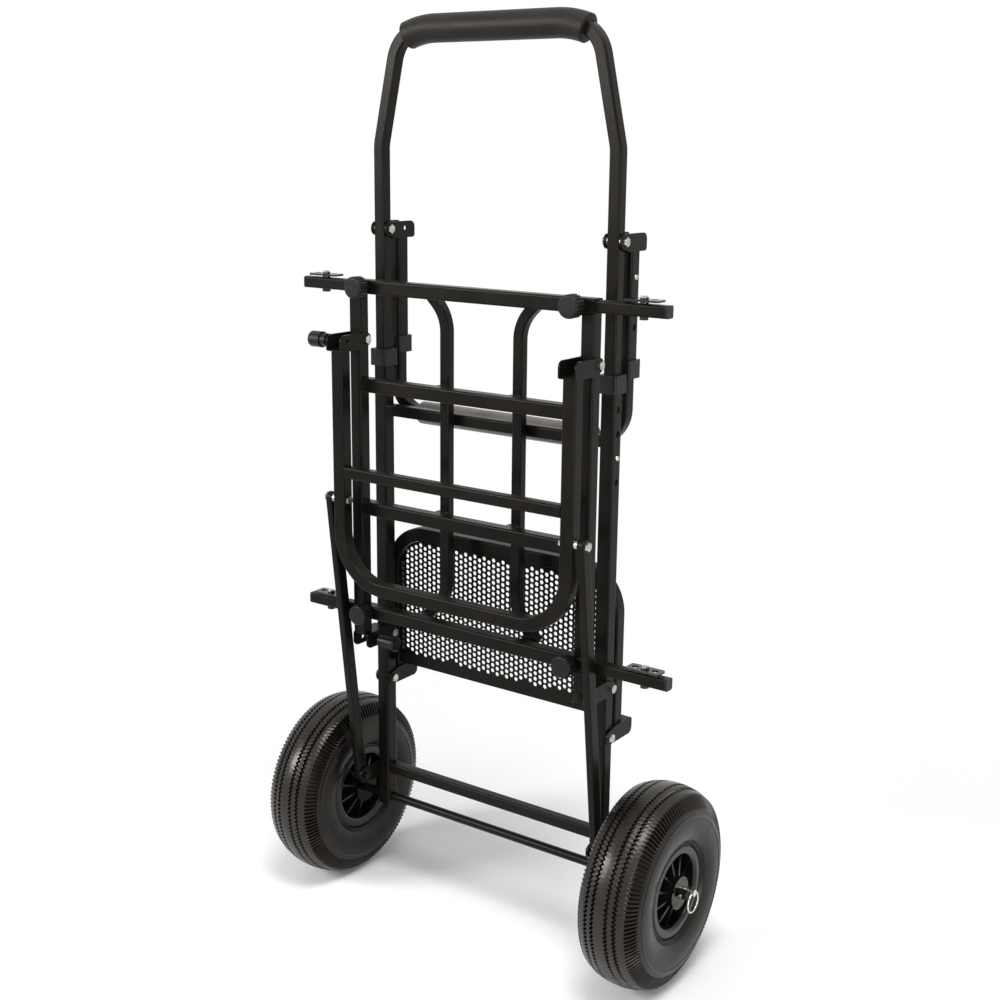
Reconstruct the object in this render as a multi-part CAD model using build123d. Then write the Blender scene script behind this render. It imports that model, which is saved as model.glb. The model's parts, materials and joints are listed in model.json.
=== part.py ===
from build123d import *
import math
import os

# Folding hand truck with a fold-out deck, drawn folded and upright as photographed.
# Millimetres. X to the right along the axle, Y to the back, Z up, origin on the floor under the axle.

# Wheels
tyre_diameter = 260.0
tyre_width = 85.0
tyre_wall = 7.0
tread_width = 66.0
crown_drop = 8.0
tread_groove = 3.2
tread_groove_depth = 4.0
tread_grooves = 4
shoulder_slots = 100
shoulder_slot = 3.0
shoulder_slot_depth = 2.4
shoulder_slot_drop = 17.0
track = 510.0
rim_seat_diameter = 102.0
rim_flange_diameter = 117.0
rim_flange = 3.0
rim_width = 72.0
rim_wall = 4.0
rim_lip_outside = 1.4
rim_lip_inside = 5.0
hub_diameter = 40.0
hub_length = 76.0
rim_spokes = 10
spoke_thickness = 3.0
valve_diameter = 9.0
valve_length = 22.0
axle_diameter = 12.0
axle_overhang = 10.0

# Square tube
post_size = 19.0
post_wall = 1.2
frame_size = 18.0
frame_wall = 1.4
rail_size = 14.0
brace_size = 15.0
tube_corner = 2.6
slide_gap = 0.3
running_gap = 0.05

# Where the folding layers stand, front to back, and how far apart the legs are
leg_x = 175.5
stand_y = -85.5
deck_y = -49.0
rail_y = -19.0
rear_y = 31.0
shelf_y = 24.0

# Pivot heights
deck_pivot_z = 375.5
stand_pivot_z = 785.5
stay_top_z = 579.5
shelf_pivot_z = 309.5
rear_pivot_z = 923.0

# Main posts and handle
post_drop = 10.0
post_top_z = 764.0
collar_size = 26.0
collar_height = 22.0
collar_lip = 4.0
crossbar_size = 15.0
crossbar_z = (175.0, 687.0)
snap_z = 667.5
snap_pitch = 29.5
snaps_above = 2
snaps_below = 1
snap_diameter = 7.0
snap_proud = 3.0
handle_top_z = 1167.0
handle_kink_z = 1028.0
handle_corner_x = 145.0
handle_bend = 45.0
handle_tail = 42.5
grip_diameter = 34.5
grip_length = 274.5

# Deck
top_sleeve_z = 853.3
bottom_sleeve_z = 420.5
deck_bar_z = (727.0, 563.5)
rail_x = 56.0
rail_flare = 32.0
rail_bend = 50.0
arm_length = 190.0
arm_reach = {"upper_left": 263.0, "upper_right": 277.0, "lower_left": 265.0, "lower_right": 294.5}
cap_flange = 3.0
cap_plug = 12.0
cleat_length = 45.0
cleat_width = 19.0
cleat_thickness = 2.5
cleat_lift = 2.5
cleat_inset = 33.0
cleat_hole = 8.0
knob_x = 161.0
knob_diameter = 28.0
knob_height = 16.0
knob_round = 3.0
knob_flutes = 20
knob_flute = 2.8
knob_neck = 14.0
knob_neck_height = 5.0

# Stand
stand_floor_gap = 0.5
stand_bend = 70.0
stand_bar_z = 617.5

# Rear loop
rear_sleeve_foot_z = 764.5
rear_loop_z = 682.0
rear_loop_bend = 40.0
rear_pad_diameter = 30.0
rear_pad_length = 268.0
rear_snap_z = 880.5
rear_snap_travel = 59.5
rear_loop_top_z = 898.0

# Shelf
shelf_top_z = 526.0
shelf_bend = 52.0
sheet_thickness = 1.2
sheet_foot_z = 327.0
sheet_hole = 5.5
sheet_pitch = 7.6
sheet_stagger = 3.8
sheet_margin = 4.0
sheet_foot_margin = 19.0
sheet_corner_gap = 1.5
sheet_flange = 14.0

# Pressed hinge channels, bolts and locks
channel_inside = 20.5
channel_gauge = 2.2
channel_web = 10.0
channel_nose = 9.0
channel_web_start = 11.5
channel_round = 8.0
channel_web_round = 4.0
deck_reach = 55.0
stand_reach = 50.0
rear_reach = 50.0
shelf_reach = 52.0
bolt_diameter = 6.0
bolt_head = 10.0
bolt_head_height = 3.6
washer_diameter = 13.0
washer_gap = 0.2
lock_diameter = 6.0
deck_lock_reach = 37.0
plunger_barrel = 12.0
plunger_barrel_length = 12.0
plunger_show = 4.0
plunger_travel = 4.0
plunger_knob = 20.5
plunger_neck = 17.0
plunger_neck_length = 9.0
plunger_knob_length = 28.0
stay_width = 16.0
stay_thickness = 10.0
stay_gap = 4.8
lug_thickness = 3.0
lug_radius = 11.0
lynch_pin = 5.0
lynch_head = 9.0
lynch_ring = 26.0
lynch_wire = 2.5
axle_washer = 42.0
axle_washer_thickness = 2.0

parts = {}
axle_z = tyre_diameter / 2
post_foot_z = axle_z - post_drop
handle_foot_z = snap_z - handle_tail
handle_size = post_size - 2 * post_wall - 2 * slide_gap
arm_size = frame_size - 2 * frame_wall - 2 * slide_gap
ear_x = channel_inside / 2 + channel_gauge
lock_reach = deck_y - stand_y
stay_foot_y = stand_y - deck_y
stay_foot_z = deck_pivot_z + stay_top_z - stand_pivot_z
stand_foot_z = stand_pivot_z - (deck_pivot_z + deck_y) + stand_floor_gap
stand_leg_top = stand_pivot_z - channel_web - channel_gauge
frame_end = leg_x + frame_size / 2
SIDES = {"left": -1, "right": 1}


def section(size, wall, corner=tube_corner):
    """Rounded square tube section, hollow."""
    inside = size - 2 * wall
    return RectangleRounded(size, size, corner) - RectangleRounded(inside, inside, corner - wall)


def tube(size, wall, start, end):
    """Straight square tube between two points."""
    start, end = Vector(*start), Vector(*end)
    run = end - start
    across = (0, 1, 0)
    return extrude(Plane(start, x_dir=across, z_dir=run) * section(size, wall), run.length)


def bent_tube(points, bend, size, wall):
    """Square tube bent in an upright plane through the given corners."""
    route = FilletPolyline(*points, radius=bend)
    return sweep(Plane(route @ 0, x_dir=(0, 1, 0), z_dir=route % 0) * section(size, wall), route)


def rod(diameter, start, end):
    """Round bar between two points."""
    start, end = Vector(*start), Vector(*end)
    return extrude(Plane(start, z_dir=end - start) * Circle(diameter / 2), (end - start).length)


def block(size, centre):
    return Pos(*centre) * Box(*size)


def hex_head(diameter, start, end):
    start, end = Vector(*start), Vector(*end)
    outline = RegularPolygon(diameter / 2, 6, major_radius=False)
    return extrude(Plane(start, z_dir=end - start) * outline, (end - start).length)


def drill(diameter, x, y, z, half_length):
    """Cutter along X, centred on the given point."""
    return rod(diameter, (x - half_length, y, z), (x + half_length, y, z))


def channel(reach, back, web_up, lock=None):
    """Pressed channel about a pivot at the origin: back is +1 or -1 in Y, web_up is +1 or -1 in Z."""
    wide = 2 * ear_x
    under = channel_web + channel_gauge
    side = Polygon((0, channel_nose), (reach, channel_nose), (reach, -under), (channel_web_start, -under),
                   (0, -channel_nose), align=None)
    side = fillet([v for v in side.vertices() if v.X > reach - 1 and v.Y > 0], channel_round)
    side = fillet([v for v in side.vertices() if v.X > reach - 1 and v.Y < -channel_web], channel_web_round)
    side += Circle(channel_nose)
    body = extrude(Plane.YZ * side, wide / 2, both=True)
    body -= block((channel_inside, 4 * reach, 2 * under), (0, 0, under - channel_web))
    body -= block((channel_inside, 2 * channel_web_start, 4 * under), (0, 0, 0))
    body -= drill(bolt_diameter + 2 * running_gap, 0, 0, 0, wide)
    if lock:
        body -= drill(lock_diameter + 2 * running_gap, 0, lock, 0, wide)
    if back < 0:
        body = mirror(body, Plane.XZ)
    if web_up > 0:
        body = mirror(body, Plane.XY)
    return body


def pivot_bolts(y, z, held_size):
    """A bolt, its nut and the washers beside the held tube, for both legs."""
    solids = []
    gap = (channel_inside - held_size) / 2 - washer_gap - running_gap
    for side in SIDES.values():
        x = side * leg_x
        out = ear_x + running_gap
        bolt = drill(bolt_diameter, x, y, z, out)
        bolt += hex_head(bolt_head, (x + out, y, z), (x + out + bolt_head_height, y, z))
        bolt += hex_head(bolt_head, (x - out, y, z), (x - out - bolt_head_height, y, z))
        solids.append(bolt)
        for face in (-1, 1):
            start = x + face * (channel_inside / 2 - running_gap)
            washer = rod(washer_diameter, (start, y, z), (start - face * gap, y, z))
            solids.append(washer - drill(bolt_diameter + 2 * running_gap, x, y, z, out))
    return solids


def pair(shape):
    """The same shape at both legs."""
    return [Pos(side * leg_x, 0, 0) * shape for side in SIDES.values()]


def hinge_pair(reach, back, web_up, lock):
    """Channels for both legs, with the lock hole in the left one only."""
    left = channel(reach, back, web_up, lock)
    right = channel(reach, back, web_up)
    return [Pos(-leg_x, 0, 0) * left, Pos(leg_x, 0, 0) * right]


def bolt_hole(y, z, x):
    return drill(bolt_diameter + 2 * running_gap, x, y, z, post_size)


# Main posts, with the snap holes on the outside, the axle hole and the lug for the stay
for name, side in SIDES.items():
    x = side * leg_x
    post = tube(post_size, post_wall, (x, 0, post_foot_z), (x, 0, post_top_z))
    post -= bolt_hole(0, deck_pivot_z, x)
    post -= bolt_hole(0, shelf_pivot_z, x)
    post -= drill(axle_diameter + 2 * running_gap, x, 0, axle_z, post_size)
    outside = x + side * post_size / 2
    for step in range(-snaps_below, snaps_above + 1):
        post -= drill(snap_diameter + 1, outside, 0, snap_z + step * snap_pitch, 2 * post_wall)
    lug_back = post_size / 2
    post += rod(2 * lug_radius, (outside, stay_foot_y, stay_foot_z),
                (outside + side * lug_thickness, stay_foot_y, stay_foot_z))
    post += block((lug_thickness, lug_back - stay_foot_y, 2 * lug_radius),
                  (outside + side * lug_thickness / 2, (lug_back + stay_foot_y) / 2, stay_foot_z))
    if name == "left":
        post -= drill(lock_diameter + 2 * running_gap, x + post_size / 2, 0,
                      deck_pivot_z - deck_lock_reach, 2 * post_wall)
    post -= drill(bolt_diameter + 2 * running_gap, outside, stay_foot_y, stay_foot_z, lug_thickness + 1)
    parts[f"{name}_post"] = [post]

collar = Box(collar_size, collar_size, collar_height)
collar = fillet(collar.edges().filter_by(Axis.Z), tube_corner)
collar = Pos(0, 0, post_top_z + collar_lip - collar_height / 2) * collar
collar_pocket = post_size + 2 * running_gap
pocket = RectangleRounded(collar_pocket, collar_pocket, tube_corner)
collar -= extrude(Pos(0, 0, post_top_z) * pocket, -collar_height)
collar_bore = post_size - 2 * post_wall
collar -= extrude(Pos(0, 0, post_top_z) * RectangleRounded(collar_bore, collar_bore, tube_corner - post_wall),
                  collar_lip)
parts["post_collars"] = pair(collar)

inner_face = leg_x - post_size / 2
parts["crossbars"] = [tube(crossbar_size, post_wall, (-inner_face, 0, z), (inner_face, 0, z))
                      for z in crossbar_z]

hub_end = (track + hub_length) / 2
axle_end = hub_end + axle_washer_thickness + axle_overhang
pin_x = hub_end + axle_washer_thickness + lynch_pin / 2 + 1
axle = rod(axle_diameter, (-axle_end, 0, axle_z), (axle_end, 0, axle_z))
axle = chamfer(axle.edges().filter_by(GeomType.CIRCLE), 1)
pin_hole = lynch_pin + 2 * running_gap
for side in SIDES.values():
    axle -= rod(pin_hole, (side * pin_x, -axle_diameter, axle_z), (side * pin_x, axle_diameter, axle_z))
parts["axle"] = [axle]

fasteners = []
for side in SIDES.values():
    for start in (hub_end, track / 2 - hub_length / 2 - axle_washer_thickness):
        near, far = side * (start + 0.2), side * (start + axle_washer_thickness - 0.2)
        washer = rod(axle_washer, (near, 0, axle_z), (far, 0, axle_z))
        washer -= drill(axle_diameter + 2 * running_gap, near, 0, axle_z, axle_washer)
        fasteners.append(washer)
    eye_y = axle_diameter / 2 + lynch_head / 2
    pin = rod(lynch_pin, (side * pin_x, -eye_y, axle_z), (side * pin_x, eye_y, axle_z))
    ring_x = axle_end + lynch_wire
    head_start, head_end = side * (pin_x - lynch_pin / 2 - 0.5), side * (ring_x + lynch_wire)
    head = rod(lynch_head, (head_start, eye_y, axle_z), (head_end, eye_y, axle_z))
    ring_top = Plane((side * ring_x, eye_y, axle_z), x_dir=(0, 0, 1), z_dir=(0, 1, 0))
    ring_axis = Axis((side * ring_x, eye_y, axle_z - lynch_ring / 2), (1, 0, 0))
    wire = (ring_top * Circle(lynch_wire / 2)).face().rotate(ring_axis, 10)
    ring = revolve(wire, ring_axis, 340)
    fasteners.append(pin + head + ring)
parts["axle_fasteners"] = fasteners

# Wheels: section drawn in the X, Z half plane and turned about the axle
half = tyre_width / 2
crown = tyre_diameter / 2
seat = rim_seat_diameter / 2 + 0.1
bead = rim_width / 2 - rim_flange - 0.1
shoulder = crown - crown_drop
belly = (crown + seat) / 2
bead_toe = bead - tyre_wall
with BuildSketch(Plane.XZ) as tyre_section:
    with BuildLine():
        ThreePointArc((0, crown), (tread_width / 4, crown - crown_drop / 4), (tread_width / 2, shoulder))
        ThreePointArc((tread_width / 2, shoulder), (half, belly + 6), (bead + 3, rim_flange_diameter / 2 + 1))
        Line((bead + 3, rim_flange_diameter / 2 + 1), (bead, rim_flange_diameter / 2 + 1))
        Line((bead, rim_flange_diameter / 2 + 1), (bead, seat))
        Line((bead, seat), (bead_toe, seat))
        Line((bead_toe, seat), (bead_toe, seat + tyre_wall))
        ThreePointArc((bead_toe, seat + tyre_wall), (half - tyre_wall, belly + 6),
                      (tread_width / 2 - tyre_wall, shoulder - tyre_wall - 2))
        Line((tread_width / 2 - tyre_wall, shoulder - tyre_wall - 2), (0, crown - tyre_wall - 3))
        Line((0, crown - tyre_wall - 3), (0, crown))
    make_face()
    mirror(about=Plane.YZ)
tyre = revolve(tyre_section.sketch, Axis.X)
groove_pitch = tread_width / (tread_grooves + 1)
for index in range(tread_grooves):
    groove_x = (index - (tread_grooves - 1) / 2) * groove_pitch
    outer = rod(tyre_diameter + 10, (groove_x - tread_groove / 2, 0, 0), (groove_x + tread_groove / 2, 0, 0))
    floor = crown - crown_drop * (2 * groove_x / tread_width) ** 2 - tread_groove_depth
    tyre -= outer - drill(2 * floor, groove_x, 0, 0, tread_groove)
slot_run_x = half - 1 - tread_width / 2
slot_tilt = math.degrees(math.atan2(slot_run_x, shoulder_slot_drop))
slot = Box(2 * shoulder_slot_depth, shoulder_slot, math.hypot(slot_run_x, shoulder_slot_drop))
slot_mid = ((tread_width + slot_run_x) / 2, 0, shoulder - shoulder_slot_drop / 2)
slot = Pos(*slot_mid) * Rot(0, -slot_tilt, 0) * slot
slots = []
for index in range(shoulder_slots):
    turned = Rot(index * 360 / shoulder_slots, 0, 0) * slot
    slots += [turned, mirror(turned, Plane.YZ)]
tyre -= slots

barrel = drill(rim_seat_diameter, 0, 0, 0, rim_width / 2)
for face in (-1, 1):
    edge = face * rim_width / 2
    barrel += rod(rim_flange_diameter, (edge, 0, 0), (edge - face * rim_flange, 0, 0))
bore = rim_seat_diameter - 2 * rim_wall
barrel -= drill(bore, 0, 0, 0, rim_width)
lips = [e for e in barrel.edges().filter_by(GeomType.CIRCLE) if abs(e.center().X) > rim_width / 2 - 0.1]
barrel = fillet([e for e in lips if e.radius > rim_seat_diameter / 2], rim_lip_outside)
lips = [e for e in barrel.edges().filter_by(GeomType.CIRCLE) if abs(e.center().X) > rim_width / 2 - 0.1]
barrel = fillet([e for e in lips if e.radius < rim_seat_diameter / 2], rim_lip_inside)
web = drill(bore + rim_wall, 0, 0, 0, rim_wall / 2)
hub = drill(hub_diameter, 0, 0, 0, hub_length / 2)
rim = barrel + web + hub
with BuildSketch(Plane.XZ) as spoke_section:
    with BuildLine():
        Polyline((0, hub_diameter / 2 - 2), (hub_length / 2 - 6, hub_diameter / 2 - 2),
                 (rim_width / 2 - 12, bore / 2 + 1), (0, bore / 2 + 1), close=True)
    make_face()
    mirror(about=Plane.YZ)
spoke = extrude(spoke_section.sketch, spoke_thickness / 2, both=True)
for index in range(rim_spokes):
    rim += Rot(index * 360 / rim_spokes, 0, 0) * spoke
rim -= drill(axle_diameter + 2 * running_gap, 0, 0, 0, hub_length)
valve_x = (rim_wall + valve_diameter) / 2 + 2
valve_turn = 180 / rim_spokes
valve = rod(valve_diameter, (valve_x, 0, bore / 2 + 1), (valve_x, 0, bore / 2 - valve_length + 6))
valve += rod(valve_diameter - 3, (valve_x, 0, bore / 2), (valve_x, 0, bore / 2 - valve_length))
rim += Rot(valve_turn, 0, 0) * valve
for name, side in SIDES.items():
    turn = 0 if side > 0 else 180
    place = Pos(side * track / 2, 0, axle_z) * Rot(0, 0, turn)
    parts[f"{name}_tyre"] = [place * tyre]
    parts[f"{name}_rim"] = [place * rim]

# Handle: bent inner tube, foam grip round its top, and the snap buttons
handle_points = [(-leg_x, 0, handle_foot_z), (-leg_x, 0, handle_kink_z), (-handle_corner_x, 0, handle_top_z),
                 (handle_corner_x, 0, handle_top_z), (leg_x, 0, handle_kink_z), (leg_x, 0, handle_foot_z)]
handle = bent_tube(handle_points, handle_bend, handle_size, post_wall)
for side in SIDES.values():
    handle -= bolt_hole(0, rear_pivot_z, side * leg_x)
    outside = side * (leg_x + handle_size / 2)
    handle -= drill(snap_diameter + 2 * running_gap, outside, 0, snap_z, 2 * post_wall)
parts["handle_tube"] = [handle]

handle_route = FilletPolyline(*handle_points, radius=handle_bend)
grip_share = grip_length / handle_route.length / 2
grip_route = Wire(handle_route.edges()).trim(0.5 - grip_share, 0.5 + grip_share)
grip_ring = Circle(grip_diameter / 2) - RectangleRounded(handle_size, handle_size, tube_corner)
grip_end = Plane(grip_route @ 0, x_dir=(0, 1, 0), z_dir=grip_route % 0)
parts["handle_grip"] = [sweep(grip_end * grip_ring, grip_route)]


def snap_button(side, inside, outside, y, z):
    """Dome on a short pin that stands out of the tube wall."""
    tip = outside + snap_proud
    pin = rod(snap_diameter, (side * (inside - 2), y, z), (side * tip, y, z))
    tip_edge = pin.edges().filter_by(GeomType.CIRCLE).sort_by(Axis.X)[-1 if side > 0 else 0]
    pin = fillet(tip_edge, snap_diameter / 2 - 0.6)
    head = rod(snap_diameter + 3, (side * (inside - 2), y, z), (side * (inside - 0.3), y, z))
    return pin + head


for name, side in SIDES.items():
    wall_in = leg_x + handle_size / 2 - post_wall
    wall_out = leg_x + post_size / 2
    parts[f"{name}_handle_button"] = [snap_button(side, wall_in, wall_out, 0, snap_z)]
    parts[f"{name}_rear_button"] = [snap_button(side, wall_in, wall_out, rear_y, rear_snap_z)]

# Rear loop: outer tubes welded to their hinge channels, with the inner loop sliding in them
rear_channels = dict(zip(SIDES, hinge_pair(rear_reach, 1, -1, rear_y)))
sleeve_top = rear_pivot_z - channel_web - channel_gauge
for name, side in SIDES.items():
    x = side * leg_x
    sleeve = tube(post_size, post_wall, (x, rear_y, rear_sleeve_foot_z), (x, rear_y, sleeve_top))
    outside = x + side * post_size / 2
    for z in (rear_snap_z, rear_snap_z - rear_snap_travel):
        sleeve -= drill(snap_diameter + 1, outside, rear_y, z, 2 * post_wall)
    parts[f"{name}_rear_sleeve"] = [sleeve + Pos(0, 0, rear_pivot_z) * rear_channels[name]]
rear_collar = mirror(Pos(0, 0, -post_top_z) * collar, Plane.XY)
parts["rear_collars"] = pair(Pos(0, rear_y, rear_sleeve_foot_z) * rear_collar)
parts["rear_bolts"] = pivot_bolts(0, rear_pivot_z, handle_size)
rear_points = [(-leg_x, rear_y, rear_loop_top_z), (-leg_x, rear_y, rear_loop_z),
               (leg_x, rear_y, rear_loop_z), (leg_x, rear_y, rear_loop_top_z)]
rear_loop = bent_tube(rear_points, rear_loop_bend, handle_size, post_wall)
for side in SIDES.values():
    outside = side * (leg_x + handle_size / 2)
    rear_loop -= drill(snap_diameter + 2 * running_gap, outside, rear_y, rear_snap_z, 2 * post_wall)
parts["rear_loop"] = [rear_loop]
pad_end = Plane((-rear_pad_length / 2, rear_y, rear_loop_z), x_dir=(0, 1, 0), z_dir=(1, 0, 0))
pad_ring = Circle(rear_pad_diameter / 2) - RectangleRounded(handle_size, handle_size, tube_corner)
parts["rear_pad"] = [extrude(pad_end * pad_ring, rear_pad_length)]

# Deck: legs, two sleeves that hold the arms, two bars and two raised rails
half_frame = frame_size / 2
for name, side in SIDES.items():
    x = side * leg_x
    leg_ends = (x, deck_y, bottom_sleeve_z + half_frame), (x, deck_y, top_sleeve_z - half_frame)
    leg = tube(frame_size, frame_wall, *leg_ends)
    leg -= bolt_hole(deck_y, stand_pivot_z, x)
    if name == "left":
        leg -= drill(lock_diameter + 2 * running_gap, x - half_frame, deck_y, stand_pivot_z + lock_reach,
                     2 * frame_wall)
    parts[f"deck_{name}_leg"] = [leg]
for name, z in (("top", top_sleeve_z), ("bottom", bottom_sleeve_z)):
    sleeve = tube(frame_size, frame_wall, (-frame_end, deck_y, z), (frame_end, deck_y, z))
    for side in SIDES.values():
        front = deck_y - half_frame
        screw_hole = bolt_diameter + 2 * running_gap
        sleeve -= rod(screw_hole, (side * knob_x, front - 2, z), (side * knob_x, front + 2, z))
    parts[f"deck_{name}_sleeve"] = [sleeve]
bar_end = leg_x - half_frame
parts["deck_bars"] = [tube(frame_size, frame_wall, (-bar_end, deck_y, z), (bar_end, deck_y, z))
                      for z in deck_bar_z]
standoff_front = deck_y + half_frame
standoff = rail_y - rail_size / 2 - standoff_front
for name, side in SIDES.items():
    flare_x = side * (rail_x + rail_flare)
    ends = [(flare_x, rail_y, top_sleeve_z), (side * rail_x, rail_y, top_sleeve_z - rail_flare),
            (side * rail_x, rail_y, bottom_sleeve_z + rail_flare), (flare_x, rail_y, bottom_sleeve_z)]
    rail = bent_tube(ends, rail_bend, rail_size, frame_wall)
    for z in deck_bar_z:
        rail += block((rail_size, standoff, rail_size), (side * rail_x, standoff_front + standoff / 2, z))
    for z in (top_sleeve_z - rail_size / 4, bottom_sleeve_z + rail_size / 4):
        rail += block((rail_size, standoff, rail_size / 2),
                      (side * (rail_x + rail_flare - rail_size / 2), standoff_front + standoff / 2, z))
    parts[f"deck_{name}_rail"] = [rail]
stub_z = deck_pivot_z + channel_web + channel_gauge
stub = tube(frame_size, frame_wall, (0, deck_y, stub_z), (0, deck_y, bottom_sleeve_z - half_frame))


def barrel_on(x, side, y, z):
    """Threaded barrel of a spring plunger on the outside of an ear."""
    end = x + side * plunger_barrel_length
    return rod(plunger_barrel, (x, y, z), (end, y, z)) - drill(
        lock_diameter + 2 * running_gap, x, y, z, 2 * plunger_barrel_length)


def plunger(x, side, y, z):
    """Stepped pull knob over the barrel, drawn out and parked with its pin level with the ear."""
    near = x + side * (plunger_show + plunger_travel)
    step = near + side * plunger_neck_length
    far = near + side * plunger_knob_length
    skirt_end = near + side * (plunger_barrel_length - plunger_show + 0.5)
    pull = rod(plunger_neck, (near, y, z), (step, y, z)) + rod(plunger_knob, (step, y, z), (far, y, z))
    pull = fillet(pull.edges().filter_by(GeomType.CIRCLE).sort_by(Axis.X)[-1 if side > 0 else 0], 3)
    pull -= rod(plunger_barrel + 0.8, (near, y, z), (skirt_end, y, z))
    return pull + rod(lock_diameter, (x - side * channel_gauge, y, z), (skirt_end, y, z))


deck_channels = hinge_pair(deck_reach, -1, 1, deck_lock_reach)
brackets = [Pos(0, 0, deck_pivot_z) * c + t for c, t in zip(deck_channels, pair(stub))]
deck_ear = ear_x - leg_x
brackets[0] += barrel_on(deck_ear, 1, -deck_lock_reach, deck_pivot_z)
parts["deck_brackets"] = brackets
parts["deck_bolts"] = pivot_bolts(0, deck_pivot_z, post_size)
parts["deck_plunger"] = [plunger(deck_ear, 1, -deck_lock_reach, deck_pivot_z)]

# Arms that slide in the sleeves, with their end caps and tie-down cleats
half_arm = arm_size / 2
cap_body = Box(cap_flange, arm_size, arm_size)
cap_body = fillet(cap_body.edges().filter_by(Axis.X), tube_corner)
plug = arm_size - 2 * frame_wall
for name, reach in arm_reach.items():
    side = SIDES[name.split("_")[1]]
    z = top_sleeve_z if name.startswith("upper") else bottom_sleeve_z
    end = side * (reach - cap_flange)
    bolt_x = side * (reach - cleat_inset)
    arm = tube(arm_size, frame_wall, (end - side * arm_length, deck_y, z), (end, deck_y, z))
    cleat_bolt_hole = bolt_diameter + 2 * running_gap
    arm -= rod(cleat_bolt_hole, (bolt_x, deck_y, z - arm_size), (bolt_x, deck_y, z + arm_size))
    parts[f"{name}_arm"] = [arm]
    cap = Pos(side * (reach - cap_flange / 2), deck_y, z) * cap_body
    cap += block((cap_plug, plug - 2, plug - 2), (end - side * cap_plug / 2, deck_y, z))
    parts[f"{name}_cap"] = [cap]
    plate_z = z + half_arm + cleat_lift
    plate = Box(cleat_length, cleat_width, cleat_thickness)
    plate = fillet(plate.edges().filter_by(Axis.Z), 3)
    for hole_x in (-0.3 * cleat_length, 0.3 * cleat_length):
        plate -= Pos(hole_x, 0, 0) * Cylinder(cleat_hole / 2, 4 * cleat_thickness)
    plate -= Cylinder(bolt_diameter / 2 + running_gap, 4 * cleat_thickness)
    plate = Pos(bolt_x, deck_y, plate_z + cleat_thickness / 2) * plate
    spacer = rod(bolt_head, (bolt_x, deck_y, z + half_arm), (bolt_x, deck_y, plate_z))
    spacer -= rod(bolt_diameter + 2 * running_gap, (bolt_x, deck_y, z), (bolt_x, deck_y, plate_z + 9))
    low = z - half_arm
    top = plate_z + cleat_thickness
    bolt = rod(bolt_diameter, (bolt_x, deck_y, low), (bolt_x, deck_y, top))
    bolt += hex_head(bolt_head, (bolt_x, deck_y, low), (bolt_x, deck_y, low - bolt_head_height))
    bolt += rod(bolt_head, (bolt_x, deck_y, top), (bolt_x, deck_y, top + bolt_head_height / 2))
    parts[f"{name}_cleat"] = [plate, spacer, bolt]

# Clamp knobs on the front of the sleeves
knob = extrude(Circle(knob_diameter / 2), knob_height)
knob = fillet(knob.edges().group_by(Axis.Z)[-1], knob_round)
flute = Pos((knob_diameter + knob_flute / 4) / 2, 0, 0) * Cylinder(knob_flute / 2, 4 * knob_height)
knob -= [Rot(0, 0, index * 360 / knob_flutes) * flute for index in range(knob_flutes)]
knob += Pos(0, 0, -knob_neck_height / 2) * Cylinder(knob_neck / 2, knob_neck_height)
screw = knob_neck_height + frame_wall - 0.1
knob += Pos(0, 0, -screw / 2) * Cylinder(bolt_diameter / 2, screw)
for name in arm_reach:
    side = SIDES[name.split("_")[1]]
    z = top_sleeve_z if name.startswith("upper") else bottom_sleeve_z
    front = deck_y - half_frame - knob_neck_height - washer_gap
    parts[f"{name}_knob"] = [Pos(side * knob_x, front, z) * Rot(90, 0, 0) * knob]

# Stand: bent loop, its bar, hinge channels and lock
foot_mid = stand_foot_z + half_frame
stand_points = [(-leg_x, stand_y, stand_leg_top), (-leg_x, stand_y, foot_mid),
                (leg_x, stand_y, foot_mid), (leg_x, stand_y, stand_leg_top)]
stand = bent_tube(stand_points, stand_bend, frame_size, frame_wall)
for side in SIDES.values():
    stand -= bolt_hole(stand_y, stay_top_z, side * leg_x)
parts["stand_loop"] = [stand]
stand_bar_y = stand_y - (frame_size - brace_size) / 2
bar_ends = (-bar_end, stand_bar_y, stand_bar_z), (bar_end, stand_bar_y, stand_bar_z)
parts["stand_bar"] = [tube(brace_size, frame_wall, *bar_ends)]
stand_channels = hinge_pair(stand_reach, -1, -1, lock_reach)
stand_brackets = [Pos(0, deck_y, stand_pivot_z) * c for c in stand_channels]
stand_ear = -leg_x - ear_x
stand_brackets[0] += barrel_on(stand_ear, -1, stand_y, stand_pivot_z)
parts["stand_brackets"] = stand_brackets
stay_in = frame_end + stay_gap
stay_out = stay_in + stay_thickness


def stay_bolt(side, inner, y, z, spacer_start):
    """Bolt through a stay, its nut and the spacer that keeps the stay off its neighbour."""
    far = stay_out + running_gap
    bolt = rod(bolt_diameter, (side * inner, y, z), (side * far, y, z))
    bolt += hex_head(bolt_head, (side * inner, y, z), (side * (inner - bolt_head_height), y, z))
    bolt += hex_head(bolt_head, (side * far, y, z), (side * (far + bolt_head_height), y, z))
    spacer = rod(washer_diameter, (side * spacer_start, y, z), (side * (stay_in - washer_gap), y, z))
    spacer -= drill(bolt_diameter + 2 * running_gap, side * spacer_start, y, z, stay_gap + washer_diameter)
    return [bolt, spacer]


stand_bolts = pivot_bolts(deck_y, stand_pivot_z, frame_size)
stay_bolts = []
for side in SIDES.values():
    stand_bolts += stay_bolt(side, leg_x - half_frame, stand_y, stay_top_z, frame_end)
    lug_in = leg_x + post_size / 2
    stay_bolts += stay_bolt(side, lug_in, stay_foot_y, stay_foot_z, lug_in + lug_thickness)
parts["stand_bolts"] = stand_bolts
parts["stay_bolts"] = stay_bolts
parts["stand_plunger"] = [plunger(stand_ear, -1, stand_y, stand_pivot_z)]

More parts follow.
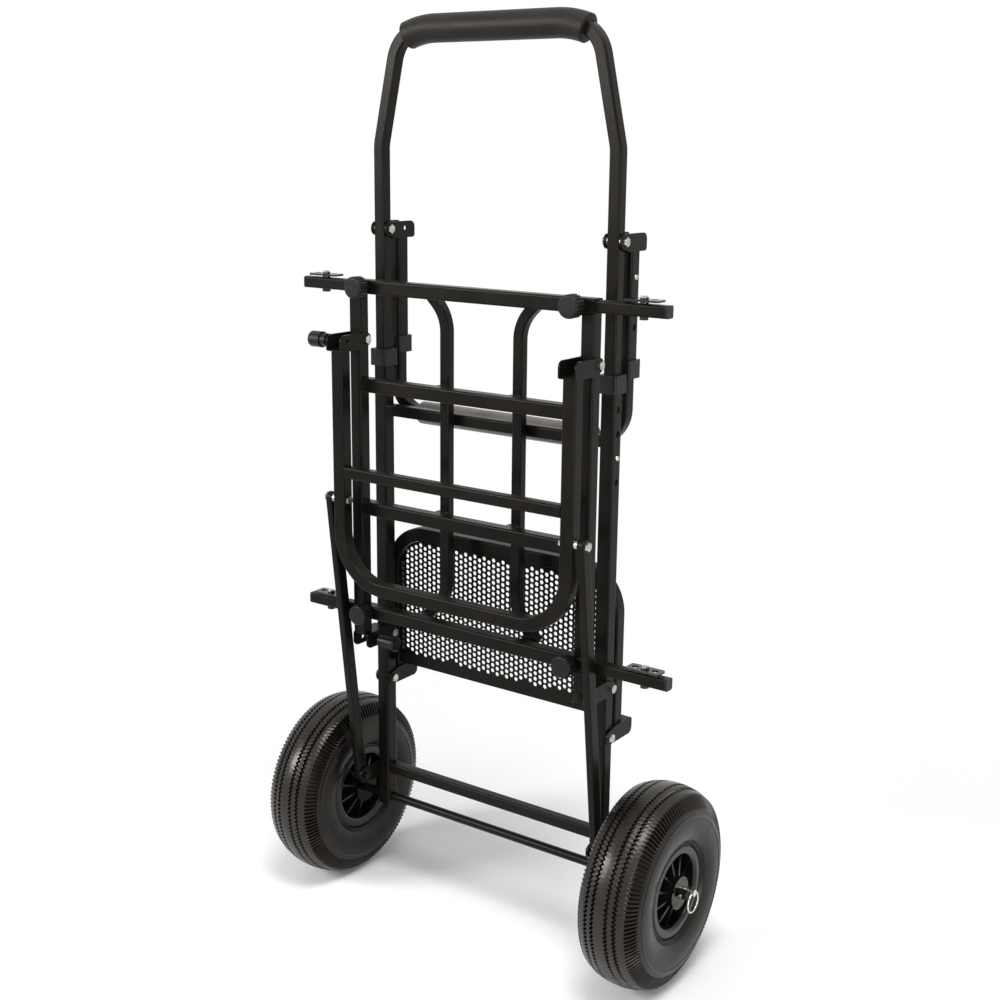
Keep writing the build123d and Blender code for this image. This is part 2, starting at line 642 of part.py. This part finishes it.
# Stays from the stand to the lugs on the posts
run_y = stand_y - stay_foot_y
run_z = stay_top_z - stay_foot_z
stay_length = math.hypot(run_y, run_z)
stay_tilt = math.degrees(math.atan2(-run_y, run_z))
bar = SlotCenterToCenter(stay_length, stay_width, 90)
stay = extrude(Plane.YZ * Pos(0, stay_length / 2) * bar, stay_thickness / 2, both=True)
stay = fillet(stay.faces().filter_by(Axis.X).edges(), 2)
hole = bolt_diameter + 2 * running_gap
stay -= drill(hole, 0, 0, 0, stay_thickness)
stay -= drill(hole, 0, 0, stay_length, stay_thickness)
stay = Pos(0, stay_foot_y, stay_foot_z) * Rot(stay_tilt, 0, 0) * stay
stay_x = (stay_in + stay_out) / 2
for name, side in SIDES.items():
    parts[f"{name}_stay"] = [Pos(side * stay_x, 0, 0) * stay]

# Shelf: bent frame, perforated sheet and hinge channels
shelf_foot = shelf_pivot_z + channel_web + channel_gauge
shelf_top = shelf_top_z - half_frame
shelf_points = [(-leg_x, shelf_y, shelf_foot), (-leg_x, shelf_y, shelf_top),
                (leg_x, shelf_y, shelf_top), (leg_x, shelf_y, shelf_foot)]
parts["shelf_frame"] = [bent_tube(shelf_points, shelf_bend, frame_size, frame_wall)]
parts["shelf_brackets"] = pair(Pos(0, 0, shelf_pivot_z) * channel(shelf_reach, 1, 1))
parts["shelf_bolts"] = pivot_bolts(0, shelf_pivot_z, post_size)
sheet_half = leg_x - half_frame
sheet_top = shelf_top - half_frame
corner = shelf_bend - half_frame + sheet_corner_gap
outline = Pos(0, (sheet_top + sheet_foot_z) / 2) * Rectangle(2 * sheet_half, sheet_top - sheet_foot_z)
outline = fillet([v for v in outline.vertices() if v.Y > shelf_foot + corner], corner)
columns = int((sheet_half - sheet_margin) / sheet_pitch)
rows = int((sheet_top - sheet_foot_z) / sheet_pitch)
holes = []
for column in range(-columns, columns + 1):
    x = column * sheet_pitch
    over_x = max(abs(x) - (sheet_half - corner), 0)
    for row in range(rows):
        z = sheet_foot_z + sheet_foot_margin + (column * sheet_stagger) % sheet_pitch + row * sheet_pitch
        over_z = max(z - (sheet_top - corner), 0)
        if corner - math.hypot(over_x, over_z) > sheet_margin:
            holes.append(Wire.make_circle(sheet_hole / 2, Plane((x, z, 0))))
holed = Face(outline.face().outer_wire(), holes)
sheet = Pos(0, sheet_thickness / 2, 0) * extrude(Plane.XZ * holed, sheet_thickness)
sheet += block((2 * sheet_half, sheet_flange, sheet_thickness),
               (0, sheet_flange / 2, sheet_foot_z + sheet_thickness / 2))
sheet_y = shelf_y - half_frame + tube_corner + sheet_thickness / 2
parts["shelf_sheet"] = [Pos(0, sheet_y, 0) * sheet]

for node, solids in parts.items():
    shape = solids[0] if len(solids) == 1 else Compound(children=[s for s in solids])
    export_step(shape, f"parts/{node}.step")
print(len(parts), "nodes,", len(holes), "sheet holes")
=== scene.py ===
import json
import math

import bpy
from mathutils import Matrix, Vector


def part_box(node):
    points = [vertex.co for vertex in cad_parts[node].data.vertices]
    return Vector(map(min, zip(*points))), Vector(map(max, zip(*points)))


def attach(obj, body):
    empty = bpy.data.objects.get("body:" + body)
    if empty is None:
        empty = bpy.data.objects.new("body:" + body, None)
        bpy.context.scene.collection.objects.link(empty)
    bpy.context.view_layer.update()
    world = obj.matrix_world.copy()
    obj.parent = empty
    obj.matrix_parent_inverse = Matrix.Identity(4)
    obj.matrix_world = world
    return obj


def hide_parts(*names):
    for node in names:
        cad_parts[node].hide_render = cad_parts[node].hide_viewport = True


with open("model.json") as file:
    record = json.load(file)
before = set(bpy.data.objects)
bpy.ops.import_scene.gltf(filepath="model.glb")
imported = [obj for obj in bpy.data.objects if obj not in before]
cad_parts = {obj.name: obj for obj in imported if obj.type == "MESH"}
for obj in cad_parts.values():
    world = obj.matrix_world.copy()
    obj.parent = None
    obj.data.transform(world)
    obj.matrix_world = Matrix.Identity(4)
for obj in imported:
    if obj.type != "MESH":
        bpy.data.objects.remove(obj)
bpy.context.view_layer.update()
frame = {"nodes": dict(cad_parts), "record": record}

nodes = frame["nodes"]

# Wheels, in metres as all sizes here, with their outer sizes and places from the frame
tyre_low, tyre_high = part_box("right_tyre")
TYRE_SKIN = 0.0005
TYRE_R = (tyre_high[1] - tyre_low[1]) / 2
TYRE_HALF = (tyre_high[0] - tyre_low[0]) / 2 - TYRE_SKIN
TRACK_HALF = (tyre_low[0] + tyre_high[0]) / 2
AXLE_Z = (tyre_low[2] + tyre_high[2]) / 2
WASHER_OUTER_X = 0.2953

# Tread: a crown with zig-zag grooves between ribs
TREAD_HALF = 0.033
CROWN_DROP = 0.008
TREAD_TEETH = 136
TOOTH_STEPS = 4
CENTRE_RIB = 0.0025
GROOVES = (0.0095, 0.0198)
GROOVE_HALF = 0.0016
GROOVE_DEPTH = 0.0045
GROOVE_SWING = 0.0017
GROOVE_SLOPE = 0.0004
GROOVE_LIP = 0.0005
GROOVE_LIP_DEPTH = 0.0006
GROOVE_TO_RIB = 0.0052

# Shoulder slots, which start before the tread's edge and fade out down the wall
SHOULDER_PLAIN = 0.004
SHOULDER_EASE = 0.0012
SHOULDER_SHARE = 0.4
SLOT_SIDE_DEPTH = 0.0024
SLOT_CROWN_DEPTH = 0.0018
SLOT_LOW_R = 0.1045
SLOT_FADE = 0.003

# Side wall down to the bead, with a raised line and a hollow by the rim
WALL_STEPS = 72
BELLY_LIFT = 0.006
RIDGE_R = 0.0985
RIDGE_HALF = 0.0012
RIDGE_HEIGHT = 0.0009
HOLLOW_R = 0.0632
HOLLOW_HALF = 0.0036
HOLLOW_DEPTH = 0.0042
FLANGE_R = 0.0585
FLANGE_GAP = 0.001
BEAD_X = 0.0329
BEAD_R = 0.0511
BEAD_BULGE = 0.003
BEAD_DEPTH = 0.007

# Foam grip: half of its straight, the bend at each end, and each end's rounding as inset and loss of radius
grip_low, grip_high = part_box("handle_grip")
GRIP_R = (grip_high[1] - grip_low[1]) / 2
HANDLE_TOP = grip_high[2] - GRIP_R
GRIP_STRAIGHT = 0.0885
GRIP_BEND = 0.126
GRIP_TURN = math.radians(20)
GRIP_STRAIGHT_STEPS = 24
GRIP_BEND_STEPS = 18
GRIP_AROUND = 56
GRIP_RIM = ((0.0, 0.0085), (0.0, 0.0030), (0.00049, 0.0008), (0.0014, 0.0))

# Fasteners: width across flats and height
NUT = (0.0155, 0.0044)
CLEAT_BOLT = (0.0085, 0.0018)
HEXAGON_BEVEL = ((0.0, 1.0), (0.82, 1.0), (1.0, 0.86))

# Stage and camera
FLOOR_HALF = 9
FLOOR_DROP = 0.0005
FLOOR_FADE = (0.45, 1.1)
FLOOR_GREY = 0.93
SKY_FILL = 0.5
CAMERA_PLACE = (1.0548, -1.4642, 1.0382)
CAMERA_PAN = math.radians(35.391)
CAMERA_DOWN = math.radians(13.998)
CAMERA_ROLL = math.radians(0.575)
CAMERA_LENS = 52.32
CAMERA_SENSOR = 36

# Small margin that tells places apart which would otherwise be level
HAIR = 0.0001

# Colour sockets of a mix node, which share their names with its sockets for numbers
MIX_FIRST, MIX_SECOND, MIX_RESULT = 6, 7, 2


class Look:
    """A node material with object coordinates in metres and a few handy steps."""

    def __init__(self, name):
        self.material = bpy.data.materials.new(name)
        self.material.use_nodes = True
        self.tree = self.material.node_tree
        self.shader = self.tree.nodes["Principled BSDF"]
        self.place = self.tree.nodes.new("ShaderNodeTexCoord").outputs["Object"]

    def link(self, a, b):
        self.tree.links.new(a, b)

    def gloss(self, level, tint=(1.0, 1.0, 1.0)):
        self.shader.inputs["Specular IOR Level"].default_value = level
        self.shader.inputs["Specular Tint"].default_value = (*tint, 1)

    def noise(self, scale, detail, rough=0.5, stretch=None):
        node = self.tree.nodes.new("ShaderNodeTexNoise")
        node.inputs["Scale"].default_value = scale
        node.inputs["Detail"].default_value = detail
        node.inputs["Roughness"].default_value = rough
        place = self.place
        if stretch:
            mapping = self.tree.nodes.new("ShaderNodeMapping")
            mapping.inputs["Scale"].default_value = stretch
            self.link(place, mapping.inputs["Vector"])
            place = mapping.outputs["Vector"]
        self.link(place, node.inputs["Vector"])
        return node.outputs["Fac"]

    def cells(self, scale):
        node = self.tree.nodes.new("ShaderNodeTexVoronoi")
        node.inputs["Scale"].default_value = scale
        self.link(self.place, node.inputs["Vector"])
        return node.outputs["Distance"]

    def from_middle(self):
        """Distance from the part's middle plane, to either side."""
        split = self.tree.nodes.new("ShaderNodeSeparateXYZ")
        self.link(self.place, split.inputs["Vector"])
        node = self.tree.nodes.new("ShaderNodeMath")
        node.operation = "ABSOLUTE"
        self.link(split.outputs["X"], node.inputs[0])
        return node.outputs["Value"]

    def span(self, value, low, high, start=0.3, end=0.7):
        node = self.tree.nodes.new("ShaderNodeMapRange")
        node.inputs["From Min"].default_value = start
        node.inputs["From Max"].default_value = end
        node.inputs["To Min"].default_value = low
        node.inputs["To Max"].default_value = high
        self.link(value, node.inputs["Value"])
        return node.outputs["Result"]

    def ramp(self, value, first, second, start=0.3, end=0.7):
        node = self.tree.nodes.new("ShaderNodeValToRGB")
        node.color_ramp.elements[0].position = start
        node.color_ramp.elements[0].color = (*first, 1)
        node.color_ramp.elements[1].position = end
        node.color_ramp.elements[1].color = (*second, 1)
        self.link(value, node.inputs["Fac"])
        return node.outputs["Color"]

    def mix(self, share, first, second):
        node = self.tree.nodes.new("ShaderNodeMix")
        node.data_type = "RGBA"
        self.link(share, node.inputs["Factor"])
        self.link(first, node.inputs[MIX_FIRST])
        self.link(second, node.inputs[MIX_SECOND])
        return node.outputs[MIX_RESULT]

    def bump(self, height, strength, distance, before=None):
        node = self.tree.nodes.new("ShaderNodeBump")
        node.inputs["Strength"].default_value = strength
        node.inputs["Distance"].default_value = distance
        self.link(height, node.inputs["Height"])
        if before:
            self.link(before, node.inputs["Normal"])
        return node.outputs["Normal"]

    def finish(self, colour, rough, normal):
        self.link(colour, self.shader.inputs["Base Color"])
        self.link(rough, self.shader.inputs["Roughness"])
        self.link(normal, self.shader.inputs["Normal"])
        return self.material


def powder_coat():
    look = Look("powder_coat")
    look.gloss(0.11, tint=(1.0, 0.94, 0.88))
    peel = look.noise(700, detail=2)
    broad = look.noise(16, detail=3)
    colour = look.ramp(broad, (0.0034, 0.0028, 0.0022), (0.0062, 0.0052, 0.0040))
    return look.finish(colour, look.span(broad, 0.26, 0.36), look.bump(peel, 0.12, 0.0005))


def gloss_black():
    look = Look("gloss_black")
    look.gloss(0.45)
    ripple = look.noise(300, detail=2)
    broad = look.noise(60, detail=3)
    colour = look.ramp(broad, (0.0050, 0.0046, 0.0042), (0.0090, 0.0083, 0.0076))
    return look.finish(colour, look.span(broad, 0.10, 0.18), look.bump(ripple, 0.10, 0.0005))


def zinc():
    look = Look("bright_zinc")
    look.shader.inputs["Metallic"].default_value = 1.0
    mottle = look.noise(260, detail=4)
    scratch = look.noise(600, detail=2, rough=0.6, stretch=(1, 6, 1))
    colour = look.ramp(mottle, (0.30, 0.29, 0.26), (0.62, 0.61, 0.57))
    return look.finish(colour, look.span(mottle, 0.16, 0.32), look.bump(scratch, 0.15, 0.0003))


def axle_hardware():
    """Dark washers inside the wheels, duller ones outside the hubs, and bright pins and rings beyond."""
    look = Look("axle_hardware")
    look.shader.inputs["Metallic"].default_value = 1.0
    mottle = look.noise(260, detail=4)
    reach = look.from_middle()
    colour = look.ramp(mottle, (0.008, 0.007, 0.006), (0.014, 0.012, 0.010))
    for start, first, second in ((TRACK_HALF, (0.030, 0.028, 0.020), (0.075, 0.070, 0.052)),
                                 (WASHER_OUTER_X, (0.42, 0.41, 0.38), (0.80, 0.79, 0.76))):
        beyond = look.span(reach, 0.0, 1.0, start - HAIR, start + HAIR)
        colour = look.mix(beyond, colour, look.ramp(mottle, first, second))
    return look.finish(colour, look.span(mottle, 0.18, 0.34), look.bump(mottle, 0.1, 0.0003))


def tyre_rubber(name, gloss):
    look = Look(name)
    look.gloss(gloss, tint=(1.0, 0.93, 0.86))
    grain = look.noise(1400, detail=3)
    broad = look.noise(34, detail=4)
    colour = look.ramp(broad, (0.0030, 0.0024, 0.0019), (0.0070, 0.0056, 0.0044))
    return look.finish(colour, look.span(broad, 0.22, 0.38), look.bump(grain, 0.12, 0.0004))


def moulded_plastic(name, gloss, rough):
    look = Look(name)
    look.gloss(gloss)
    grain = look.noise(1800, detail=2)
    broad = look.noise(40, detail=2)
    colour = look.ramp(broad, (0.0040, 0.0036, 0.0032), (0.0072, 0.0064, 0.0056))
    return look.finish(colour, look.span(broad, *rough), look.bump(grain, 0.10, 0.0003))


def foam():
    look = Look("foam_grip")
    look.gloss(0.19, tint=(1.0, 0.93, 0.88))
    pores = look.cells(900)
    broad = look.noise(26, detail=4)
    fine = look.noise(2400, detail=2)
    colour = look.ramp(broad, (0.0070, 0.0060, 0.0052), (0.0125, 0.0108, 0.0094))
    normal = look.bump(fine, 0.15, 0.0004, before=look.bump(pores, 0.18, 0.0006))
    return look.finish(colour, look.span(broad, 0.40, 0.52), normal)


def satin_grey():
    look = Look("satin_grey_tube")
    look.gloss(0.35)
    grain = look.noise(1500, detail=2)
    broad = look.noise(30, detail=3)
    colour = look.ramp(broad, (0.130, 0.119, 0.110), (0.175, 0.161, 0.149))
    return look.finish(colour, look.span(broad, 0.30, 0.42), look.bump(grain, 0.08, 0.0003))


ZINC = zinc()
RUBBER = tyre_rubber("tyre_rubber", 0.24)
TREAD = tyre_rubber("worn_tread", 0.38)
FOAM = foam()
AXLE = axle_hardware()
RIM = moulded_plastic("rim_plastic", 0.34, (0.20, 0.30))
BY_SLOT = {
    "steel": powder_coat(),
    "cleat": gloss_black(),
    "zinc": ZINC,
    "plastic": moulded_plastic("moulded_plastic", 0.20, (0.30, 0.42)),
    "tyre": RUBBER,
    "foam": FOAM,
    "pad": satin_grey(),
}
BY_NODE = {"axle_fasteners": AXLE, "left_rim": RIM, "right_rim": RIM}
for entry in frame["record"]["subparts"]:
    material = BY_NODE.get(entry["node"], BY_SLOT[entry["material_slot"]])
    mesh = nodes[entry["node"]].data
    if not mesh.materials:
        mesh.materials.append(material)
    for index in range(len(mesh.materials)):
        mesh.materials[index] = material


def mesh_piece(name, points, faces, material, body, sharp=40):
    """A smooth mesh with edges sharp from an angle in degrees, which rides a body."""
    mesh = bpy.data.meshes.new(name)
    mesh.from_pydata(points, [], faces)
    mesh.validate()
    mesh.materials.append(material)
    for polygon in mesh.polygons:
        polygon.use_smooth = True
    mesh.set_sharp_from_angle(angle=math.radians(sharp))
    piece = bpy.data.objects.new(name, mesh)
    bpy.context.scene.collection.objects.link(piece)
    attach(piece, body)
    return piece


def tube_faces(rings, around):
    """Faces between rings of points, each ring closed on itself."""
    faces = []
    for r in range(rings - 1):
        for k in range(around):
            n = (k + 1) % around
            faces.append((r * around + k, r * around + n, (r + 1) * around + n, (r + 1) * around + k))
    return faces


def triangle_wave(turn):
    """Between -1 and 1, one wave for each unit of turn."""
    return 4 * abs(turn - math.floor(turn + 0.5)) - 1


def tent(value, middle, half):
    """1 at the middle, down to 0 at half a width on either side."""
    return max(0.0, 1 - abs(value - middle) / half)


def arc_points(first, middle, last, count):
    """Points on the circle through three points, ends included."""
    (ax, ay), (bx, by), (cx, cy) = first, middle, last
    d = 2 * (ax * (by - cy) + bx * (cy - ay) + cx * (ay - by))
    a2, b2, c2 = ax * ax + ay * ay, bx * bx + by * by, cx * cx + cy * cy
    ux = (a2 * (by - cy) + b2 * (cy - ay) + c2 * (ay - by)) / d
    uy = (a2 * (cx - bx) + b2 * (ax - cx) + c2 * (bx - ax)) / d
    radius = math.hypot(ax - ux, ay - uy)
    start = math.atan2(ay - uy, ax - ux)
    turn = (math.atan2(cy - uy, cx - ux) - start + math.pi) % (2 * math.pi) - math.pi
    steps = [start + turn * i / count for i in range(count + 1)]
    return [(ux + radius * math.cos(t), uy + radius * math.sin(t)) for t in steps]


def crown_r(x):
    return TYRE_R - CROWN_DROP * (x / TREAD_HALF) ** 2


def tread_columns():
    """From the crown to the shoulder: place, radius, share of the zig-zag and of the slots' depth."""
    edge = ((GROOVE_HALF + GROOVE_LIP, 0), (GROOVE_HALF, GROOVE_LIP_DEPTH),
            (GROOVE_HALF - GROOVE_SLOPE, GROOVE_DEPTH))
    profile = [(-offset, depth) for offset, depth in edge] + list(reversed(edge))
    columns = [(x, crown_r(x), 0, 0) for x in (0.0, CENTRE_RIB)]
    for groove in GROOVES:
        columns += [(groove + offset, crown_r(groove + offset) - depth, 1, 0) for offset, depth in profile]
        columns.append((groove + GROOVE_TO_RIB, crown_r(groove + GROOVE_TO_RIB), 0, 0))
    for inset, share in ((SHOULDER_PLAIN, 0), (SHOULDER_EASE, SHOULDER_SHARE)):
        columns.append((TREAD_HALF - inset, crown_r(TREAD_HALF - inset), 0, share))
    return columns


def wall_columns():
    """The same from the shoulder to the bead."""
    shoulder = (TREAD_HALF, TYRE_R - CROWN_DROP)
    belly = (TYRE_HALF, (TYRE_R + BEAD_R) / 2 + BELLY_LIFT)
    foot_r = FLANGE_R + FLANGE_GAP
    columns = []
    for x, r in arc_points(shoulder, belly, (BEAD_X + BEAD_BULGE, foot_r), WALL_STEPS):
        share = max(0.0, min(1.0, (r - SLOT_LOW_R) / SLOT_FADE))
        ridge = RIDGE_HEIGHT * tent(r, RIDGE_R, RIDGE_HALF)
        hollow = HOLLOW_DEPTH * tent(r, HOLLOW_R, HOLLOW_HALF)
        columns.append((x + ridge - hollow, r, 0, share))
    return columns + [(BEAD_X, foot_r, 0, 0), (BEAD_X, BEAD_R, 0, 0), (BEAD_X - BEAD_DEPTH, BEAD_R, 0, 0)]


def tyre(name, node, body, side):
    """Tyre with zig-zag grooves, slotted shoulders, a raised line and a hollow by the rim."""
    half = tread_columns() + wall_columns()
    section = [(-x, r, zig, share) for x, r, zig, share in reversed(half[1:])] + half
    around = TREAD_TEETH * TOOTH_STEPS
    points = []
    for j in range(around):
        angle = 2 * math.pi * j / around
        swing = GROOVE_SWING * triangle_wave(j / TOOTH_STEPS)
        cut = 1 if j % TOOTH_STEPS >= TOOTH_STEPS / 2 else 0
        for x, r, zig, share in section:
            px = side * TRACK_HALF + x + zig * swing - math.copysign(SLOT_SIDE_DEPTH * cut * share, x)
            pr = r - SLOT_CROWN_DEPTH * cut * share
            points.append((px, pr * math.sin(angle), AXLE_Z + pr * math.cos(angle)))
    count = len(section)
    faces = []
    for j in range(around):
        k = (j + 1) % around
        for i in range(count - 1):
            faces.append((j * count + i, k * count + i, k * count + i + 1, j * count + i + 1))
    piece = mesh_piece(name, points, faces, RUBBER, body)
    piece.data.materials.append(TREAD)
    tread_low_r = TYRE_R - CROWN_DROP - HAIR
    for polygon in piece.data.polygons:
        column = polygon.index % (count - 1)
        if min(section[column][1], section[column + 1][1]) > tread_low_r:
            polygon.material_index = 1
    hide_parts(node)


tyre("left_tyre_tread", "left_tyre", "left_wheel", -1)
tyre("right_tyre_tread", "right_tyre", "right_wheel", 1)


def grip_route():
    """Centre line of the foam, straight across the top and eased down at both ends."""
    half = []
    for i in range(GRIP_STRAIGHT_STEPS + 1):
        half.append((GRIP_STRAIGHT * i / GRIP_STRAIGHT_STEPS, HANDLE_TOP, 0.0))
    for i in range(1, GRIP_BEND_STEPS + 1):
        turn = GRIP_TURN * i / GRIP_BEND_STEPS
        drop = GRIP_BEND * (1 - math.cos(turn))
        half.append((GRIP_STRAIGHT + GRIP_BEND * math.sin(turn), HANDLE_TOP - drop, turn))
    return [(-x, z, -turn) for x, z, turn in reversed(half[1:])] + half


def grip_end(x, z, turn, way):
    """Rings of a rounded end, from its face inwards."""
    rings = []
    for inset, loss in GRIP_RIM:
        along = -way * inset
        rings.append((x + along * math.cos(turn), z - along * math.sin(turn), turn, GRIP_R - loss))
    return rings


def grip():
    first, *middle, last = grip_route()
    rings = grip_end(*first, -1) + [(*spot, GRIP_R) for spot in middle] + grip_end(*last, 1)[::-1]
    points = []
    for x, z, turn, radius in rings:
        for k in range(GRIP_AROUND):
            angle = 2 * math.pi * k / GRIP_AROUND
            out = radius * math.cos(angle)
            points.append((x + out * math.sin(turn), radius * math.sin(angle), z + out * math.cos(turn)))
    piece = mesh_piece("foam_grip", points, tube_faces(len(rings), GRIP_AROUND), FOAM, "handle")
    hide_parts("handle_grip")


grip()


def hexagon(name, place, along, size, body):
    """Small bevelled hexagon head or nut that stands on a face."""
    across, height = size
    turn = Vector(along).to_track_quat("Z", "Y").to_matrix()
    points = []
    for lift, share in HEXAGON_BEVEL:
        radius = share * across / math.sqrt(3)
        for k in range(6):
            angle = math.pi / 3 * k
            spot = Vector((radius * math.cos(angle), radius * math.sin(angle), lift * height))
            points.append(tuple(Vector(place) + turn @ spot))
    foot = tuple(reversed(range(6)))
    top = tuple(range(len(points) - 6, len(points)))
    faces = tube_faces(len(HEXAGON_BEVEL), 6) + [foot, top]
    mesh_piece(name, points, faces, ZINC, body, sharp=20)


# Nuts that the clamp screws run in, on the front of the sleeves, and bright heads on the cleats' bolts
for row, sleeve in (("upper", "deck_top_sleeve"), ("lower", "deck_bottom_sleeve")):
    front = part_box(sleeve)[0][1]
    for hand in ("left", "right"):
        low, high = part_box(f"{row}_{hand}_knob")
        screw = ((low[0] + high[0]) / 2, front, (low[2] + high[2]) / 2)
        hexagon(f"{row}_{hand}_nut", screw, (0, -1, 0), NUT, "deck")
        low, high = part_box(f"{row}_{hand}_cleat")
        top = ((low[0] + high[0]) / 2, (low[1] + high[1]) / 2, high[2])
        hexagon(f"{row}_{hand}_cleat_bolt", top, (0, 0, 1), CLEAT_BOLT, f"{row}_{hand}_arm")

scene = bpy.context.scene
scene.view_settings.view_transform = "Standard"


def white_node(tree, kind, strength):
    """A background or emission of plain white."""
    node = tree.nodes.new(kind)
    node.inputs["Color"].default_value = (1, 1, 1, 1)
    node.inputs["Strength"].default_value = strength
    return node.outputs[0]


def mix_to_output(tree, kind, share, first, second):
    mix = tree.nodes.new("ShaderNodeMixShader")
    tree.links.new(share, mix.inputs["Fac"])
    tree.links.new(first, mix.inputs[1])
    tree.links.new(second, mix.inputs[2])
    tree.links.new(mix.outputs[0], tree.nodes.new(kind).inputs["Surface"])


def surround():
    """White where it is seen, straight, through or in a reflection, and half as strong as light."""
    world = bpy.data.worlds.new("surround")
    scene.world = world
    world.use_nodes = True
    tree = world.node_tree
    tree.nodes.clear()
    path = tree.nodes.new("ShaderNodeLightPath")
    seen = path.outputs["Is Camera Ray"]
    for ray in ("Is Transmission Ray", "Is Glossy Ray"):
        either = tree.nodes.new("ShaderNodeMath")
        either.operation = "MAXIMUM"
        tree.links.new(seen, either.inputs[0])
        tree.links.new(path.outputs[ray], either.inputs[1])
        seen = either.outputs[0]
    fill = white_node(tree, "ShaderNodeBackground", SKY_FILL)
    plain = white_node(tree, "ShaderNodeBackground", 1.0)
    mix_to_output(tree, "ShaderNodeOutputWorld", seen, fill, plain)


def floor_look():
    """Takes shadows near the part and fades into the white surround."""
    material = bpy.data.materials.new("white_floor")
    material.use_nodes = True
    tree = material.node_tree
    tree.nodes.clear()
    lit = tree.nodes.new("ShaderNodeBsdfDiffuse")
    lit.inputs["Color"].default_value = (FLOOR_GREY, FLOOR_GREY, FLOOR_GREY, 1)
    length = tree.nodes.new("ShaderNodeVectorMath")
    length.operation = "LENGTH"
    fade = tree.nodes.new("ShaderNodeMapRange")
    fade.interpolation_type = "SMOOTHSTEP"
    fade.inputs["From Min"].default_value, fade.inputs["From Max"].default_value = FLOOR_FADE
    tree.links.new(tree.nodes.new("ShaderNodeTexCoord").outputs["Object"], length.inputs[0])
    tree.links.new(length.outputs["Value"], fade.inputs["Value"])
    plain = white_node(tree, "ShaderNodeEmission", 1.0)
    mix_to_output(tree, "ShaderNodeOutputMaterial", fade.outputs["Result"], lit.outputs[0], plain)
    return material


def white_floor():
    mesh = bpy.data.meshes.new("floor")
    corners = [(x * FLOOR_HALF, y * FLOOR_HALF, 0) for x, y in ((-1, -1), (1, -1), (1, 1), (-1, 1))]
    mesh.from_pydata(corners, [], [(0, 1, 2, 3)])
    mesh.materials.append(floor_look())
    floor = bpy.data.objects.new("floor", mesh)
    floor.location = (0, 0, -FLOOR_DROP)
    scene.collection.objects.link(floor)


def softbox(name, place, aim, size, power):
    data = bpy.data.lights.new(name, "AREA")
    data.shape = "RECTANGLE"
    data.size, data.size_y = size
    data.energy = power
    lamp = bpy.data.objects.new(name, data)
    lamp.location = place
    lamp.rotation_euler = (Vector(aim) - Vector(place)).to_track_quat("-Z", "Y").to_euler()
    scene.collection.objects.link(lamp)


def photo_camera():
    """The photo's own view."""
    data = bpy.data.cameras.new("camera")
    data.sensor_width = CAMERA_SENSOR
    data.lens = CAMERA_LENS
    camera = bpy.data.objects.new("camera", data)
    pan = Matrix.Rotation(CAMERA_PAN, 4, "Z")
    tilt = Matrix.Rotation(math.pi / 2 - CAMERA_DOWN, 4, "X")
    roll = Matrix.Rotation(CAMERA_ROLL, 4, "Z")
    camera.matrix_world = Matrix.Translation(CAMERA_PLACE) @ pan @ tilt @ roll
    scene.collection.objects.link(camera)
    scene.camera = camera


surround()
white_floor()
softbox("top_softbox", (0.8, -0.7, 2.8), aim=(0, 0, 0.3), size=(1.1, 1.1), power=54)
softbox("front_softbox", (-0.1, -2.4, 1.6), aim=(0, 0, 0.3), size=(1.0, 0.8), power=6)
softbox("left_softbox", (-1.6, -2.15, 1.6), aim=(0, 0, 0.45), size=(0.8, 1.0), power=48)
softbox("right_softbox", (2.1, -1.5, 0.6), aim=(0, 0, 0.6), size=(0.9, 1.1), power=22)
photo_camera()
